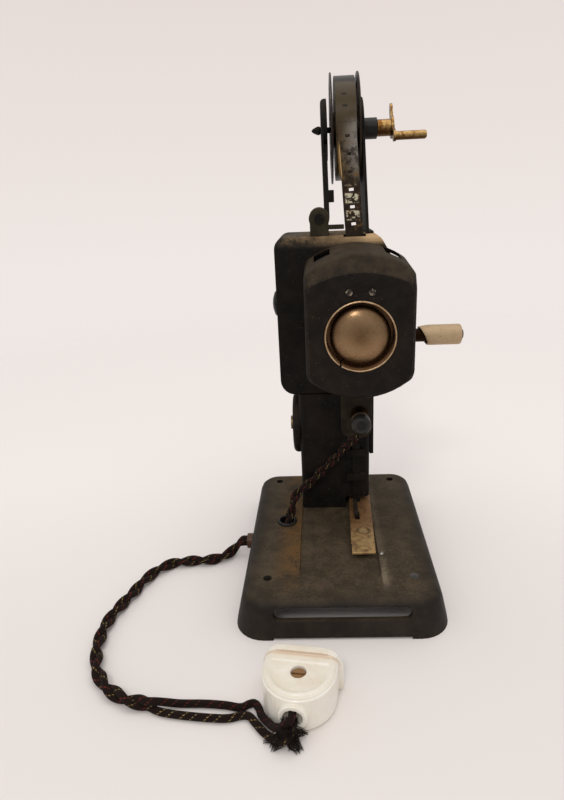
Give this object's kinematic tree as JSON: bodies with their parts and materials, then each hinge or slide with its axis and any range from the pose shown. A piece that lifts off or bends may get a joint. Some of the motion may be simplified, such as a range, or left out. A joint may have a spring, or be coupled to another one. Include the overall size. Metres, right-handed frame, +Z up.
{
  "type": "hand-cranked movie projector",
  "caption": "Small hand-cranked film projector on a hollow base, with a slab head, boxed lamp house, top reel on a lever rewind and a braided cord with a porcelain plug.",
  "frame": {"origin": "centre of the base's rectangle on the ground plane, where the feet stand", "axes": "+Z up, +Y forward along the optical axis towards the lens, +X to the right seen from behind the lamp house"},
  "size_m": [0.198, 0.2135, 0.2624],
  "materials": {
    "black_paint": "worn matt black paint",
    "dusty_paint": "black crackle paint under brown dust",
    "grey_paint": "dull grey-black paint",
    "black_sheet": "matt black",
    "reel_paint": "thin black enamel",
    "black_moulding": "aged black bakelite",
    "brown_moulding": "brown bakelite",
    "worn_brass": "dull worn brass",
    "brass": "satin brass",
    "old_reflector": "satin, heat-stained",
    "steel": "dull steel",
    "worn_nickel": "worn nickel, yellowed",
    "glass": "clear",
    "film": "developed film",
    "braid": "dark braided cotton with a few coloured threads",
    "porcelain": "glazed"
  },
  "bodies": {
    "frame": {"column": "black_paint", "front_plate": "black_paint", "chamber_cap": "black_paint", "bar_guides": "black_paint", "reel_arm": "black_paint", "hinge_block": "black_paint", "lens_mount": "black_paint", "catch_pin": "black_paint", "base_plate": "dusty_paint", "head_casting": "dusty_paint", "lamp_house": "dusty_paint", "lamp_bracket": "grey_paint", "gear_plate": "grey_paint", "cord_grommet": "black_moulding", "reel_bearing": "black_moulding", "lamp_plug": "black_moulding", "lamp_holder": "black_moulding", "cord_bush": "brown_moulding", "cap_nut": "worn_brass", "lamp_socket": "worn_brass", "split_ring": "worn_brass", "plug_screw": "worn_brass", "plug_contacts": "worn_brass", "reflector": "old_reflector", "leaf_rivets": "steel", "door_pin": "steel", "gate_plate": "steel", "house_screws": "steel", "hinge_pin": "steel", "condenser": "glass", "lamp_bulb": "glass", "film_strip": "film", "lamp_lead": "braid", "power_cord": "braid", "cord_strands": "braid", "plug_body": "porcelain"},
    "crank": {"crank_shaft": "steel", "crank_gear": "brass", "shaft_knob": "black_moulding", "crank_arm": "worn_nickel", "grip_pin": "worn_nickel"},
    "grip": {"crank_grip": "worn_nickel"},
    "middle": {"mid_shaft": "steel", "mid_gear": "brass"},
    "shutter": {"shutter_shaft": "steel", "barrel_shutter": "black_sheet"},
    "claw": {"claw": "steel"},
    "pressure": {"pressure_plate": "steel"},
    "lens": {"lens_barrel": "brass", "lenses": "glass"},
    "rewinder": {"reel": "reel_paint", "film_roll": "film", "rewind_spindle": "brass", "rewind_lever": "brass"},
    "side_arm": {"swing_arm": "black_paint", "pivot_knob": "steel"},
    "door": {"film_door": "black_paint"},
    "leaf": {"catch_leaf": "worn_brass"},
    "lock": {"lock_bar": "black_paint"}
  },
  "joints": [
    {"name": "crank_turn", "type": "hinge", "parent": "frame", "child": "crank", "pos_m": [0, 0.042, 0.143], "axis": [1, 0, 0], "continuous": true},
    {"name": "grip_spin", "type": "hinge", "parent": "crank", "child": "grip", "pos_m": [0.06, 0.042, 0.1215], "axis": [1, 0, 0], "continuous": true},
    {"name": "middle_turn", "type": "hinge", "parent": "frame", "child": "middle", "pos_m": [-0.02, 0.05267, 0.13333], "axis": [1, 0, 0], "continuous": true},
    {"name": "shutter_turn", "type": "hinge", "parent": "frame", "child": "shutter", "pos_m": [0, 0.0395, 0.1324], "axis": [1, 0, 0], "continuous": true},
    {"name": "rewind_turn", "type": "hinge", "parent": "frame", "child": "rewinder", "pos_m": [0.009, 0.057, 0.2346], "axis": [0.9999, 0, 0.0105], "continuous": true},
    {"name": "side_arm_swing", "type": "hinge", "parent": "frame", "child": "side_arm", "pos_m": [-0.0061, 0.038, 0.1896], "axis": [0, -1, 0], "range_deg": [0, 70]},
    {"name": "door_swing", "type": "hinge", "parent": "frame", "child": "door", "pos_m": [0.0228, 0.062, 0.07], "axis": [0, 0, 1], "range_deg": [0, 110]},
    {"name": "leaf_press", "type": "hinge", "parent": "frame", "child": "leaf", "pos_m": [0.0136, 0.03, 0.022], "axis": [1, 0, 0], "range_deg": [0, 2.2], "stiffness_Nm_per_rad": 3},
    {"name": "lock_lift", "type": "slide", "parent": "frame", "child": "lock", "axis": [0, 0, 1], "range_m": [0, 0.0035]},
    {"name": "pressure_slide", "type": "slide", "parent": "frame", "child": "pressure", "axis": [0, 1, 0], "range_m": [0, 0.0015], "stiffness_N_per_m": 300, "springref_m": -0.001},
    {"name": "claw_pull", "type": "slide", "parent": "frame", "child": "claw", "axis": [0, 0, -1], "range_m": [0, 0.0086]},
    {"name": "lens_focus", "type": "slide", "parent": "frame", "child": "lens", "axis": [0, 1, 0], "range_m": [-0.002, 0.006]}
  ],
  "couplings": [
    {"joint": "middle_turn", "follows": "crank_turn", "ratio": -3},
    {"joint": "shutter_turn", "follows": "crank_turn", "ratio": 8}
  ]
}
